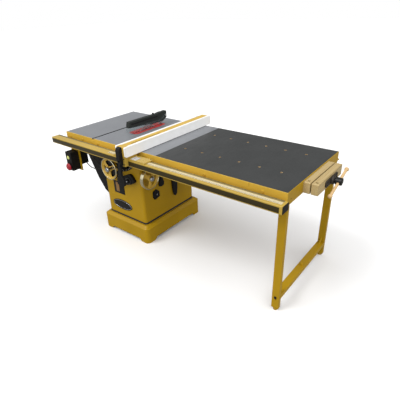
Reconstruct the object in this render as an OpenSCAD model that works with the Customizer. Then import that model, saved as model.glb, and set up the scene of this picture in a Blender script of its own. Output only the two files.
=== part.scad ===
// Cabinet table saw with a long rip rail, a bench extension and an end vise.
// Millimetres. X runs along the rail, Y from the operator to the back, Z up from the floor.

/* [Table] */
// height of the table surface above the floor
table_z = 864; // [840:1:900]
// depth of the table from front edge to back edge
table_d = 775; // [700:1:800]
// width of the three iron castings together
iron_w = 1060; // [1000:1:1080]
// right end of the bench extension
bench_x = 2075; // [1900:1:2100]
// left edge of the main casting
main_x0 = 284; // [260:1:320]
// right edge of the main casting
main_x1 = 800; // [780:1:820]

/* [Blade] */
// blade plane, left to right
blade_x = 540; // [520:1:560]
// blade centre, front to back
blade_y = 442; // [430:1:450]
// blade diameter
blade_d = 254; // [250:1:254]
// height of the blade above the table at rest
blade_up = 36; // [30:1:40]
// distance of each miter slot from the blade plane
slot_off = 179; // [170:1:185]

/* [Cabinet] */
// left face of the cabinet
cab_x0 = 334; // [320:1:340]
// right face of the cabinet
cab_x1 = 798; // [790:1:810]
// front face of the cabinet
cab_y0 = 76; // [60:1:80]
// rear face of the cabinet
cab_y1 = 700; // [680:1:720]
// height of the plinth
plinth_h = 158; // [140:1:170]
// sheet thickness of the cabinet
sheet = 3; // [2:0.5:4]

/* [Rail and fence] */
// left end of the rail tube
rail_x0 = -50; // [-80:1:0]
// right end of the rail tube
rail_x1 = 2104; // [2050:1:2120]
// front face of the rail tube
rail_y0 = -120; // [-130:1:-110]
// back face of the rail tube
rail_y1 = -44; // [-60:1:-40]
// underside of the rail tube
rail_z0 = 788; // [780:1:795]
// top of the rail tube
rail_z1 = 839; // [830:1:845]
// right working face of the fence
fence_x1 = 925; // [900:1:960]
// width of the fence over both faces
fence_w = 100; // [90:1:110]
// front end of the fence
fence_y0 = -151; // [-160:1:-145]
// back end of the fence
fence_y1 = 832; // [800:1:840]
// top of the fence
fence_z1 = 939; // [925:1:945]

/* [Vise] */
// front end of both jaws
jaw_y0 = 195; // [190:1:220]
// back end of both jaws
jaw_y1 = 583; // [570:1:600]
// opening between the jaws at rest
jaw_gap = 8; // [4:1:20]
// thickness of each jaw
jaw_t = 42; // [36:1:50]
// underside of both jaws
jaw_z0 = 786; // [770:1:792]

/* [Hidden] */
$fn = 72;
top_t = 14;
rib_z = 826;
bolt_z = 832;
arbor_z = table_z + blade_up - blade_d / 2;
motor_y = 300;
motor_z = 629;
wheel_x = 510;
wheel_z = 632;
wheel_r = 94;
rim_w = 11;
tilt_y = 112;
tilt_z = 597;
lift_y = 262;
vise_y = 395;
vise_z = 820;
apron_x = bench_x + 4;
outer_x0 = apron_x + jaw_t + jaw_gap;
outer_x1 = outer_x0 + jaw_t;
hub_x = outer_x1 + 51;
hub_x1 = hub_x + 18;
handle_a = 18.8;
fence_x0 = fence_x1 - fence_w;
fence_c = fence_x1 - fence_w / 2;
lever_y0 = -184;
lever_y = -166;
lever_z = 822;
leg_x0 = 2033;
leg_x1 = 2083;
slot_left = blade_x - slot_off;
slot_right = blade_x + slot_off;
shift_x = (rail_x0 + hub_x1) / 2;
shift_y = (lever_y0 + fence_y1) / 2;
bolt_xs = [55, 225, 420, 660, 860, 1010];

// ---- shared shapes, in table coordinates: origin under the table's front left corner ----

module place() {
    translate([-shift_x, -shift_y, 0]) children();
}

module slab(x, y, z) {
    translate([x[0], y[0], z[0]]) cube([x[1] - x[0], y[1] - y[0], z[1] - z[0]]);
}

module rod_x(x, y, z, r) {
    translate([x[0], y, z]) rotate([0, 90, 0]) cylinder(h = x[1] - x[0], r = r);
}

module rod_y(y, x, z, r) {
    translate([x, y[1], z]) rotate([90, 0, 0]) cylinder(h = y[1] - y[0], r = r);
}

module rod_z(z, x, y, r) {
    translate([x, y, z[0]]) cylinder(h = z[1] - z[0], r = r);
}

module round_rect(w, d, r) {
    translate([r, 0]) square([w - 2 * r, d]);
    translate([0, r]) square([w, d - 2 * r]);
    for (x = [r, w - r]) {
        for (y = [r, d - r]) {
            translate([x, y]) circle(r);
        }
    }
}

// rounded block standing on Z
module pad_z(x, y, z, r) {
    translate([x[0], y[0], z[0]])
        linear_extrude(z[1] - z[0]) round_rect(x[1] - x[0], y[1] - y[0], r);
}

// outline drawn in X and Z, run along Y
module run_y(y) {
    translate([0, y[1], 0]) rotate([90, 0, 0]) linear_extrude(y[1] - y[0]) children();
}

// outline drawn in Y and Z, run along X
module run_x(x) {
    translate([x[0], 0, 0]) rotate([90, 0, 90]) linear_extrude(x[1] - x[0]) children();
}

// ring sector about the tilt axis; angles count from straight down towards +X
module arc_band(r0, r1, a0, a1) {
    am = (a0 + a1) / 2;
    translate([blade_x, table_z]) intersection() {
        difference() {
            circle(r1);
            circle(r0);
        }
        polygon([[0, 0], [3 * r1 * sin(a0), -3 * r1 * cos(a0)], [3 * r1 * sin(am), -3 * r1 * cos(am)],
            [3 * r1 * sin(a1), -3 * r1 * cos(a1)]]);
    }
}

// ---- base and cabinet ----

plinth_x0 = cab_x0 - 41;
plinth_x1 = cab_x1 + 45;
plinth_y0 = cab_y0 - 40;
plinth_y1 = cab_y1 + 40;

module plinth() color([0.67, 0.52, 0.15]) place() {
    difference() {
        union() {
            pad_z([plinth_x0, plinth_x1], [plinth_y0, plinth_y1], [0, 136], 36);
            hull() {
                pad_z([plinth_x0, plinth_x1], [plinth_y0, plinth_y1], [135, 136], 36);
                pad_z([plinth_x0 + 26, plinth_x1 - 26], [plinth_y0 + 26, plinth_y1 - 26],
                    [plinth_h - 1, plinth_h], 20);
            }
        }
        pad_z([plinth_x0 + 12, plinth_x1 - 12], [plinth_y0 + 12, plinth_y1 - 12], [-1, 124], 24);
        pad_z([cab_x0 + 26, cab_x1 - 26], [cab_y0 + 26, cab_y1 - 26], [120, 170], 12);
        run_y([0, table_d]) polygon([[plinth_x0 + 80, -1], [plinth_x1 - 80, -1],
            [plinth_x1 - 104, 26], [plinth_x0 + 104, 26]]);
        run_x([200, 900]) polygon([[plinth_y0 + 86, -1], [plinth_y1 - 86, -1],
            [plinth_y1 - 110, 26], [plinth_y0 + 110, 26]]);
    }
}

module cabinet() color([0.62, 0.5, 0.13]) place() {
    difference() {
        union() {
            pad_z([cab_x0, cab_x1], [cab_y0, cab_y1], [plinth_h + 14, rib_z], 22);
            pad_z([cab_x0 + 7, cab_x1 - 7], [cab_y0 + 7, cab_y1 - 7], [plinth_h, plinth_h + 15], 16);
            rod_x([cab_x1 - 1, cab_x1 + 6], tilt_y, tilt_z, 24);
        }
        difference() {
            pad_z([cab_x0 + sheet, cab_x1 - sheet], [cab_y0 + sheet, cab_y1 - sheet],
                [plinth_h + 18, rib_z + 1], 19);
            difference() {
                pad_z([cab_x0 + sheet, cab_x1 - sheet], [cab_y0 + sheet, cab_y1 - sheet],
                    [rib_z - 5, rib_z], 19);
                pad_z([cab_x0 + 14, cab_x1 - 24], [cab_y0 + 24, cab_y1 - 24], [rib_z - 6, rib_z + 1], 8);
            }
            run_x([cab_x0, cab_x1]) polygon([[cab_y0, 252], [cab_y0, 256], [cab_y1, 182], [cab_y1, 178]]);
        }
        difference() {
            pad_z([cab_x0 + 26, cab_x1 - 26], [cab_y0 + 26, cab_y1 - 26], [plinth_h - 1, 190], 10);
            run_x([cab_x0, cab_x1]) polygon([[cab_y0, 252], [cab_y0, 256], [cab_y1, 182], [cab_y1, 178]]);
        }
        slab([cab_x0 - 5, cab_x0 + 6], [146, 474], [300, 778]);
        rod_x([cab_x1 - 10, cab_x1 + 10], tilt_y, tilt_z, 8.05);
        run_y([cab_y0 - 1, cab_y0 + 5]) arc_band(221, 247, -13, 43);
        rod_y([cab_y1 - 5, cab_y1 + 1], 566, 236, 47.5);
    }
}

module dust_port() color([0.12, 0.12, 0.13]) place() {
    difference() {
        union() {
            rod_y([cab_y1, cab_y1 + 4], 566, 236, 66);
            rod_y([cab_y1, cab_y1 + 58], 566, 236, 50.8);
        }
        rod_y([cab_y1 - 1, cab_y1 + 60], 566, 236, 47.5);
    }
}

// ---- iron table ----

module bolt_holes(y) {
    for (x = bolt_xs) {
        rod_y(y, x, bolt_z, 4);
    }
}

module miter_slot(x) {
    slab([x - 9.6, x + 9.6], [-1, table_d + 1], [table_z - 9.6, table_z + 1]);
    slab([x - 12, x + 12], [-1, table_d + 1], [table_z - 9.6, table_z - 6.4]);
}

module table_main() color([0.6, 0.61, 0.63]) place() {
    difference() {
        union() {
            difference() {
                slab([main_x0, main_x1], [0, table_d], [rib_z, table_z]);
                slab([main_x0 + 12, main_x1 - 12], [12, table_d - 12], [rib_z - 1, table_z - top_t]);
            }
            difference() {
                slab([cab_x0 - 6, main_x1 - 6], [cab_y0 - 6, cab_y1 + 6], [rib_z, table_z - top_t]);
                slab([cab_x0 + 10, main_x1 - 12], [cab_y0 + 12, cab_y1 - 12],
                    [rib_z - 1, table_z - top_t + 1]);
            }
            slab([390, 690], [126, 148], [rib_z, table_z - top_t]);
            slab([390, 690], [638, 660], [rib_z, table_z - top_t]);
        }
        miter_slot(slot_left);
        miter_slot(slot_right);
        pad_z([blade_x - 50, blade_x + 50], [262, 628], [table_z - 6, table_z + 1], 30);
        pad_z([blade_x - 42, blade_x + 42], [270, 622], [table_z - top_t - 1, table_z], 24);
        bolt_holes([-1, 14]);
    }
}

module wing(x) {
    difference() {
        slab(x, [0, table_d], [rib_z, table_z]);
        for (i = [0:3]) {
            slab([x[0] + 12, x[1] - 12], [12 + i * 190.75, 190.75 + i * 190.75],
                [rib_z - 1, table_z - 12]);
        }
        bolt_holes([-1, 14]);
    }
}

module wing_left() color([0.6, 0.61, 0.63]) place() {
    wing([0, main_x0]);
}

module wing_right() color([0.6, 0.61, 0.63]) place() {
    wing([main_x1, iron_w]);
}

module throat_insert() color([0.75, 0.13, 0.12]) place() {
    difference() {
        pad_z([blade_x - 49.9, blade_x + 49.9], [262.1, 627.9], [table_z - 6, table_z], 29.9);
        slab([blade_x - 4, blade_x + 9], [300, 624], [table_z - 7, table_z + 1]);
        rod_z([table_z - 7, table_z + 1], blade_x, 277, 8);
    }
}

// ---- rails ----

module front_angle() color([0.79, 0.63, 0.23]) place() {
    difference() {
        union() {
            slab([0, bench_x + 3], [-6, 0], [rail_z0 - 6, table_z]);
            slab([0, bench_x + 3], [rail_y0 + 20, 0], [rail_z0 - 6, rail_z0]);
        }
        bolt_holes([-7, 1]);
        rod_y([-7, 1], 1920, bolt_z, 4);
        rod_y([-7, 1], 1500, bolt_z, 4);
        for (x = [slot_left, slot_right]) {
            slab([x - 12, x + 12], [-7, 1], [table_z - 9.6, table_z + 1]);
        }
    }
}

module rail_tube() color([0.83, 0.7, 0.33]) place() {
    difference() {
        run_x([rail_x0, rail_x1]) translate([rail_y0, rail_z0])
            round_rect(rail_y1 - rail_y0, rail_z1 - rail_z0, 4);
        slab([rail_x0 + 3, rail_x1 + 1], [rail_y0 + 4, rail_y1 - 4], [rail_z0 + 4, rail_z1 - 4]);
    }
}

module rail_tape() color([0.9, 0.84, 0.7]) place() {
    slab([660, rail_x1 - 18], [rail_y0 + 20, rail_y0 + 50], [rail_z1, rail_z1 + 0.4]);
}

module rear_angle() color([0.79, 0.63, 0.23]) place() {
    slab([0, bench_x + 3], [table_d, table_d + 6], [792, table_z - 12]);
    slab([0, bench_x + 3], [table_d + 6, table_d + 36], [792, 798]);
}

module bolts() color([0.1, 0.1, 0.1]) place() {
    for (x = concat(bolt_xs, [1500, 1920])) {
        rod_y([-6, x < iron_w ? 12 : 0], x, bolt_z, 4);
        difference() {
            rod_y([-13, -6], x, bolt_z, 7);
            rod_y([-14, -9], x, bolt_z, 3);
        }
    }
}

// ---- bench extension and its legs ----

module dog_holes(z) {
    for (y = [232, 598]) {
        for (i = [0:5]) {
            rod_z(z, 1143 + i * 155, y, 9.5);
        }
    }
}

module bench_core() color([0.75, 0.64, 0.45]) place() {
    difference() {
        slab([iron_w, bench_x], [0, table_d], [836, table_z - 1.5]);
        dog_holes([830, 870]);
    }
}

module bench_laminate() color([0.3, 0.31, 0.31]) place() {
    difference() {
        slab([iron_w, bench_x], [0, table_d], [table_z - 1.5, table_z]);
        dog_holes([830, 870]);
    }
}

module bench_frame() color([0.6, 0.46, 0.15]) place() {
    difference() {
        union() {
            slab([iron_w, bench_x], [0, 30], [782, 836]);
            slab([iron_w, bench_x], [table_d - 30, table_d], [782, 836]);
            slab([iron_w, iron_w + 30], [30, table_d - 30], [782, 836]);
            slab([bench_x - 40, bench_x], [30, table_d - 30], [782, 836]);
            slab([bench_x, apron_x], [0, table_d], [782, table_z]);
        }
        slab([iron_w - 1, bench_x - 4], [4, 30], [781, 832]);
        slab([iron_w + 4, bench_x - 4], [table_d - 31, table_d - 4], [781, 832]);
        for (y = [260, 530]) {
            rod_x([bench_x - 50, apron_x + 1], y, vise_z, 10.06);
        }
        rod_x([bench_x - 50, apron_x + 1], vise_y, vise_z, 13.06);
        rod_x([bench_x - 3, apron_x + 1], 40, 812, 5);
    }
}

module legs() color([0.73, 0.58, 0.2]) place() {
    for (y = [-10, 735]) {
        difference() {
            slab([leg_x0, leg_x1], [y, y + 28], [16, 782]);
            slab([leg_x0 + 3, leg_x1 - 3], [y + 3, y + 25], [24, 770]);
            rod_z([15, 25], 2058, y + 14, 5.05);
            if (y < 0) {
                rod_y([y - 1, y + 4], 2058, 92, 6);
            }
        }
    }
}

module leg_crossbar() color([0.55, 0.44, 0.1]) place() {
    difference() {
        slab([leg_x0, leg_x1], [18, 735], [88, 122]);
        slab([leg_x0 + 3, leg_x1 - 3], [17, 736], [91, 119]);
    }
    rod_z([122, 130], 2058, 380, 9);
}

module leg_feet() color([0.1, 0.1, 0.1]) place() {
    for (y = [4, 749]) {
        rod_z([0, 10], 2058, y, 15);
        rod_z([10, 40], 2058, y, 5);
    }
}

// ---- electrics ----

module switch_plate() color([0.79, 0.63, 0.23]) place() {
    difference() {
        slab([92, 206], [-46, -42], [562, 782]);
        rod_y([-47, -41], 145, 670, 12);
    }
    slab([92, 206], [-42, -6], [778, 782]);
}

module switch_box() color([0.07, 0.07, 0.08]) place() {
    difference() {
        slab([108, 182], [-122, -46], [578, 738]);
        rod_y([-123, -104], 145, 692, 12.06);
        rod_y([-123, -104], 145, 612, 10.06);
    }
    rod_y([-46, -42], 145, 670, 12);
    slab([112, 192], [-42, 34], [612, 762]);
}

module start_button() color([0.55, 0.8, 0.2]) place() {
    rod_y([-130, -112], 145, 692, 12);
}

module stop_button() color([0.8, 0.07, 0.12]) place() {
    rod_y([-132, -112], 145, 612, 10);
    translate([145, -132, 612]) rotate([90, 0, 0]) cylinder(h = 6, r1 = 30, r2 = 32);
    translate([145, -138, 612]) rotate([90, 0, 0]) cylinder(h = 9, r1 = 32, r2 = 22);
}

// ---- front of the cabinet ----

module tilt_scale() color([0.08, 0.08, 0.08]) place() {
    difference() {
        run_y([cab_y0 - 2, cab_y0]) arc_band(206, 266, -20, 50);
        run_y([cab_y0 - 3, cab_y0 + 1]) arc_band(221, 247, -13, 43);
    }
}

module badge() color([0.06, 0.06, 0.06]) place() {
    translate([522, cab_y0, 272]) rotate([90, 0, 0]) scale([1.3, 0.5, 1]) cylinder(h = 3, r = 92);
}

// ---- tilting parts ----

module trunnions() color([0.35, 0.36, 0.38]) place() {
    for (y = [128, 640]) {
        run_y([y, y + 18]) arc_band(100, 136, -66, 66);
        for (x = [[402, 440], [640, 678]]) {
            slab(x, [y, y + 18], [796, rib_z]);
        }
    }
}

module cradle() color([0.28, 0.29, 0.31]) place() {
    difference() {
        union() {
            for (y = [[146, 160], [624, 640]]) {
                run_y(y) arc_band(96, 150, -60, 18);
                run_y(y) polygon([[430, 770], [560, 730], [575, 600], [420, 520]]);
            }
            run_y([105, 119]) arc_band(224, 252, -47, 10);
            run_y([105, 119]) polygon([[388, 700], [470, 740], [500, 640], [430, 655]]);
            rod_y([119, 146], 445, 700, 14);
            rod_y([105, 146], wheel_x, wheel_z, 15);
            rod_y([160, 624], 442, 545, 11);
            slab([418, 596], [160, 300], [584, 600]);
            for (x = [440, 574]) {
                rod_z([600, 785], x, lift_y, 10);
            }
        }
        rod_y([100, 170], wheel_x, wheel_z, 8.05);
        rod_z([580, 604], wheel_x, lift_y, 8.05);
    }
}

module splitter() color([0.72, 0.73, 0.75]) place() {
    difference() {
        run_x([blade_x - 1.2, blade_x + 1.2])
            polygon([[580, 700], [624, 700], [618, 840], [618, 880], [664, 905], [664, 950], [592, 950],
                [588, 905], [577, 850]]);
        rod_x([blade_x - 2, blade_x + 2], 650, 938, 5.05);
    }
    difference() {
        slab([blade_x - 12, blade_x + 12], [606, 624], [714, 760]);
        slab([blade_x - 1.2, blade_x + 1.2], [600, 630], [710, 770]);
    }
}

module guard_arm() color([0.1, 0.11, 0.11]) place() {
    difference() {
        union() {
            run_x([blade_x - 18, blade_x + 18])
                polygon([[221, 921], [225, 940], [232, 968], [560, 966], [580, 970], [670, 970],
                    [670, 916], [642, 899], [622, 890], [480, 890], [446, 902], [373, 909]]);
            rod_z([965, 979], blade_x, 520, 9);
        }
        slab([blade_x - 14, blade_x + 14], [244, 574], [880, 952]);
        slab([blade_x - 1.2, blade_x + 1.2], [560, 670], [880, 950]);
        rod_x([blade_x - 20, blade_x + 20], 650, 938, 5.05);
    }
}

module shield_pin() color([0.6, 0.6, 0.62]) place() {
    rod_x([blade_x - 23.5, blade_x + 23.5], 650, 938, 5);
    rod_x([blade_x - 28, blade_x - 23.5], 650, 938, 9);
    rod_x([blade_x + 23.5, blade_x + 28], 650, 938, 9);
}

module shields() color([0.8, 0.88, 0.92, 0.35]) place() {
    for (x = [[blade_x - 23, blade_x - 20], [blade_x + 20, blade_x + 23]]) {
        difference() {
            run_x(x) polygon([[222, 926], [219, 884], [234, 868], [505, 868], [590, 898], [640, 922],
                [662, 924], [662, 952], [638, 952], [628, 934], [590, 912], [373, 918]]);
            rod_x([x[0] - 1, x[1] + 1], 650, 938, 5.05);
        }
    }
}

// ---- arbor unit ----

module belt_loop(grow) {
    hull() {
        translate([motor_y, motor_z]) circle(38 + grow);
        translate([blade_y, arbor_z]) circle(25 + grow);
    }
}

module arm_casting() color([0.25, 0.26, 0.28]) place() {
    difference() {
        union() {
            run_x([396, 412]) polygon([[250, 640], [236, 712], [300, 735], [415, 798], [470, 798],
                [474, 745], [400, 640], [340, 600]]);
            rod_x([412, 528], blade_y, arbor_z, 26);
            slab([412, 600], [243, 284], [668, 712]);
            rod_x([349, 396], 240, 706, 9);
            rod_x([349, 396], 392, 600, 9);
            run_x([341, 349]) polygon([[225, 560], [225, 720], [380, 700], [404, 600], [380, 560]]);
            slab([396, 412], [380, 404], [590, 660]);
        }
        rod_x([395, 529], blade_y, arbor_z, 12.05);
        for (x = [440, 574]) {
            rod_z([660, 720], x, lift_y, 10.05);
        }
        rod_z([660, 720], wheel_x, lift_y, 8.05);
        rod_x([340, 350], motor_y, motor_z, 30);
    }
}

module motor() color([0.1, 0.1, 0.11]) place() {
    difference() {
        union() {
            rod_x([160, 341], motor_y, motor_z, 82);
            rod_x([142, 160], motor_y, motor_z, 76);
            slab([190, 290], [motor_y - 40, motor_y + 40], [motor_z + 60, motor_z + 96]);
        }
        rod_x([300, 342], motor_y, motor_z, 10.05);
    }
}

module motor_pulley() color([0.5, 0.5, 0.52]) place() {
    rod_x([302, 392], motor_y, motor_z, 10);
    rod_x([354, 390], motor_y, motor_z, 38);
}

module belt() color([0.05, 0.05, 0.05]) place() {
    run_x([357, 387]) difference() {
        belt_loop(4);
        belt_loop(0.25);
    }
}

module arbor() color([0.62, 0.63, 0.65]) place() {
    rod_x([352, 528], blade_y, arbor_z, 12);
    rod_x([354, 390], blade_y, arbor_z, 25);
    rod_x([528, blade_x - 1.6], blade_y, arbor_z, 24);
    rod_x([blade_x - 1.6, blade_x + 18], blade_y, arbor_z, 7.9);
}

module blade() color([0.75, 0.76, 0.78]) place() {
    translate([blade_x, blade_y, arbor_z]) rotate([0, 90, 0]) difference() {
        union() {
            translate([0, 0, -1.1]) cylinder(h = 2.2, r = blade_d / 2 - 5);
            translate([0, 0, -1.6]) cylinder(h = 3.2, r = 24);
            for (i = [0:39]) {
                rotate([0, 0, i * 9]) translate([blade_d / 2 - 12, -3, -1.6]) cube([12, 5, 3.2]);
            }
        }
        translate([0, 0, -3]) cylinder(h = 6, r = 7.9);
    }
}

module arbor_nut() color([0.5, 0.5, 0.52]) place() {
    difference() {
        union() {
            rod_x([blade_x + 1.6, blade_x + 5], blade_y, arbor_z, 22);
            translate([blade_x + 5, blade_y, arbor_z]) rotate([0, 90, 0]) cylinder(h = 11, r = 14, $fn = 6);
        }
        rod_x([blade_x + 1, blade_x + 17], blade_y, arbor_z, 7.9);
    }
}

module blade_shroud() color([0.3, 0.31, 0.33]) place() {
    difference() {
        union() {
            intersection() {
                rod_x([528, 572], blade_y, arbor_z, 138);
                slab([500, 600], [295, 572], [600, arbor_z - 50]);
            }
            slab([500, 531], [blade_y - 16, blade_y + 16], [arbor_z - 62, arbor_z - 12]);
        }
        rod_x([531, 569], blade_y, arbor_z, 135);
        difference() {
            rod_x([520, 580], blade_y, arbor_z, 60);
            slab([500, 531], [blade_y - 16, blade_y + 16], [arbor_z - 62, arbor_z - 12]);
        }
        rod_x([499, 532], blade_y, arbor_z, 26);
    }
}

module lift_screw() color([0.7, 0.7, 0.72]) place() {
    rod_z([584, 780], wheel_x, lift_y, 8);
    translate([wheel_x, lift_y, 602]) cylinder(h = 10, r1 = 18, r2 = 14);
}

// ---- handwheels, drawn about their own axis with the rim in X and Y ----

module handwheel() {
    difference() {
        union() {
            difference() {
                translate([0, 0, -12]) cylinder(h = 28, r = wheel_r);
                translate([0, 0, -13]) cylinder(h = 30, r = wheel_r - rim_w);
            }
            cylinder(h = 18, r = 24);
            translate([0, 0, -14]) cylinder(h = 14, r = 17);
            for (a = [25, 145, 265]) {
                rotate([0, 0, a]) translate([18, -15, 3]) cube([wheel_r - 26, 30, 8]);
            }
            rotate([0, 0, 25]) translate([wheel_r - 14, 0, 0]) cylinder(h = 17, r = 12);
        }
        translate([0, 0, -16]) cylinder(h = 40, r = 8.05);
        rotate([0, 0, 25]) translate([wheel_r - 14, 0, -1]) cylinder(h = 20, r = 5.05);
    }
}

module crank_handle() {
    rotate([0, 0, 25]) translate([wheel_r - 14, 0, 0]) {
        translate([0, 0, 1]) cylinder(h = 16.2, r = 5);
        translate([0, 0, 17.1]) cylinder(h = 12, r1 = 8, r2 = 11);
        translate([0, 0, 29.1]) cylinder(h = 46, r1 = 11, r2 = 9);
        translate([0, 0, 75.1]) cylinder(h = 4, r1 = 9, r2 = 5);
    }
}

module lock_knob() {
    difference() {
        union() {
            translate([0, 0, 18.1]) cylinder(h = 16, r = 19);
            translate([0, 0, 34.1]) cylinder(h = 4, r1 = 19, r2 = 14);
        }
        translate([0, 0, 17]) cylinder(h = 12, r = 8.05);
    }
}

module on_front() {
    translate([wheel_x, 8, wheel_z]) rotate([90, 0, 0]) children();
}

module on_side() {
    translate([858, tilt_y, tilt_z]) rotate([90, 0, 90]) children();
}

module handwheel_raise() color([0.8, 0.62, 0.2]) place() on_front() handwheel();

module crank_raise() color([0.85, 0.86, 0.88]) place() on_front() crank_handle();

module knob_raise() color([0.8, 0.81, 0.83]) place() on_front() lock_knob();

module raise_shaft() color([0.62, 0.63, 0.65]) place() {
    rod_y([-20, 226], wheel_x, wheel_z, 8);
    translate([wheel_x, 240, wheel_z]) rotate([90, 0, 0]) cylinder(h = 14, r1 = 13, r2 = 17);
}

module handwheel_tilt() color([0.8, 0.62, 0.2]) place() on_side() handwheel();

module crank_tilt() color([0.85, 0.86, 0.88]) place() on_side() crank_handle();

module knob_tilt() color([0.8, 0.81, 0.83]) place() on_side() lock_knob();

module tilt_shaft() color([0.62, 0.63, 0.65]) place() {
    rod_x([512, 886], tilt_y, tilt_z, 8);
    rod_x([520, 560], tilt_y, tilt_z, 14);
}

// ---- fence ----

module fence_tube() color([0.78, 0.6, 0.22]) place() {
    difference() {
        slab([fence_x0 + 14, fence_x1 - 14], [fence_y0, fence_y1 - 5], [table_z + 4, fence_z1 - 2]);
        slab([fence_x0 + 18, fence_x1 - 18], [fence_y0 + 4, fence_y1 - 4], [table_z + 8, fence_z1 - 6]);
        slab([fence_c + 6, fence_c + 16], [-57, 246], [fence_z1 - 8, fence_z1]);
    }
}

module fence_faces() color([0.93, 0.93, 0.94]) place() {
    for (x = [fence_x0, fence_x1 - 14]) {
        run_x([x, x + 14]) translate([fence_y0, table_z + 3])
            round_rect(fence_y1 - fence_y0, fence_z1 - table_z - 3, 9);
    }
}

module fence_head() color([0.78, 0.62, 0.24]) place() {
    difference() {
        union() {
            slab([750, 1070], [rail_y0 + 1, rail_y1 + 8], [rail_z1 + 1, rail_z1 + 9]);
            slab([750, 1070], [rail_y1 + 1.5, rail_y1 + 8], [806, rail_z1 + 9]);
            slab([fence_x0 + 14, fence_x1 - 14], [fence_y0, rail_y0 - 3], [796, table_z + 4]);
            slab([fence_x0 + 14, fence_x1 - 14], [fence_y0, rail_y1 + 8], [rail_z1 + 1, table_z + 4]);
        }
        slab([938, 978], [rail_y0 + 8, rail_y1 - 22], [rail_z1, rail_z1 + 10]);
    }
}

module fence_cursor() color([0.9, 0.93, 0.95, 0.6]) place() {
    slab([932, 984], [rail_y0 + 4, rail_y1 - 18], [rail_z1 + 9, rail_z1 + 12]);
}

module fence_cap() color([0.07, 0.07, 0.08]) place() {
    run_x([fence_c - 18, fence_c + 18])
        polygon([[fence_y0, 842], [fence_y0, fence_z1], [-164, fence_z1], [-174, fence_z1 - 7],
            [-180, fence_z1 - 20], [-181, 900], [-181, 850], [-176, 842]]);
    for (x = [[fence_c - 18, fence_c - 11.2], [fence_c + 11.2, fence_c + 18]]) {
        difference() {
            slab(x, [-176, fence_y0], [806, 842]);
            rod_x([x[0] - 1, x[1] + 1], lever_y, lever_z, 5.05);
        }
    }
}

module fence_lever() color([0.09, 0.09, 0.1]) place() {
    rod_x([fence_c - 17, fence_c + 17], lever_y, lever_z, 5);
    run_x([fence_c - 11, fence_c + 11])
        polygon([[-157, 832], [-166, 834], [-175, 830], [-179, 815], [-181, 794], [-166, 794],
            [-155, 815]]);
    run_x([fence_c - 16, fence_c + 16])
        polygon([[-181, 797], [-184, 740], [-184, 656], [-172, 656], [-170, 700], [-167, 797]]);
    run_y([lever_y0, lever_y0 + 13])
        polygon([[fence_c - 15, 735], [fence_c - 38, 702], [fence_c - 38, 662], [fence_c - 31, 655],
            [fence_c + 31, 655], [fence_c + 38, 662], [fence_c + 38, 702], [fence_c + 15, 735]]);
}

// ---- motor cover ----

module motor_cover() color([0.07, 0.07, 0.08]) place() {
    difference() {
        run_y([130, 490]) polygon([[cab_x0, 786], [66, 786], [52, 770], [52, 640], [160, 420],
            [232, 318], [300, 276], [cab_x0, 272]]);
        run_y([133, 487]) polygon([[cab_x0 + 1, 782], [68, 782], [56, 768], [56, 641], [163, 422],
            [235, 321], [301, 280], [cab_x0 + 1, 276]]);
    }
    rod_z([300, 760], cab_x0 - 6, 494, 5);
}

// ---- vise ----

// rod_end is where the guide rod holes stop
module jaw(x, rod_end) {
    difference() {
        run_x([x, x + jaw_t]) translate([jaw_y0, jaw_z0]) round_rect(jaw_y1 - jaw_y0, 858 - jaw_z0, 5);
        for (y = [260, 530]) {
            rod_x([x - 1, rod_end], y, vise_z, 10.06);
        }
        rod_x([x - 1, x + jaw_t + 1], vise_y, vise_z, 13.06);
        rod_z([838, 860], x + jaw_t / 2, jaw_y0 + 29, 9.5);
    }
}

module vise_inner_jaw() color([0.8, 0.66, 0.45]) place() jaw(apron_x, apron_x + jaw_t + 1);

module vise_outer_jaw() color([0.8, 0.66, 0.45]) place() jaw(outer_x0, outer_x1 - 9);

module vise_rods() color([0.35, 0.33, 0.32]) place() {
    difference() {
        union() {
            vise_flange();
            rod_x([outer_x1 + 8, outer_x1 + 24], vise_y, vise_z, 24);
        }
        rod_x([outer_x1 - 1, outer_x1 + 25], vise_y, vise_z, 13.06);
    }
    for (y = [260, 530]) {
        rod_x([1880, outer_x1 - 10], y, vise_z, 10);
    }
}

module vise_flange() {
    run_x([outer_x1, outer_x1 + 8]) translate([vise_y - 95, vise_z - 21]) round_rect(190, 42, 12);
}

module vise_screw() color([0.12, 0.12, 0.12]) place() {
    difference() {
        union() {
            rod_x([1900, hub_x1], vise_y, vise_z, 13);
            rod_x([hub_x - 18, hub_x1], vise_y, vise_z, 24);
        }
        translate([hub_x, vise_y, vise_z]) rotate([handle_a - 90, 0, 0])
            translate([0, 0, -40]) cylinder(h = 80, r = 9.06);
    }
}

module vise_handle() color([0.85, 0.68, 0.42]) place() {
    translate([hub_x, vise_y, vise_z]) rotate([handle_a - 90, 0, 0]) {
        translate([0, 0, -140]) cylinder(h = 260, r = 9);
        for (z = [-140, 120]) {
            translate([0, 0, z]) sphere(r = 14);
        }
    }
}

plinth();
cabinet();
dust_port();
table_main();
wing_left();
wing_right();
throat_insert();
front_angle();
rail_tube();
rail_tape();
rear_angle();
bench_core();
bench_laminate();
bench_frame();
legs();
leg_crossbar();
leg_feet();
vise_inner_jaw();
switch_plate();
switch_box();
tilt_scale();
badge();
trunnions();
bolts();
cradle();
splitter();
guard_arm();
shield_pin();
shields();
arm_casting();
motor();
belt();
blade_shroud();
arbor();
blade();
arbor_nut();
motor_pulley();
lift_screw();
handwheel_raise();
raise_shaft();
crank_raise();
knob_raise();
handwheel_tilt();
tilt_shaft();
crank_tilt();
knob_tilt();
fence_tube();
fence_faces();
fence_head();
fence_cap();
fence_cursor();
fence_lever();
start_button();
stop_button();
motor_cover();
vise_outer_jaw();
vise_rods();
vise_screw();
vise_handle();
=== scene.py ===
import math

import bmesh
import bpy
from mathutils import Matrix, Vector


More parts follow.
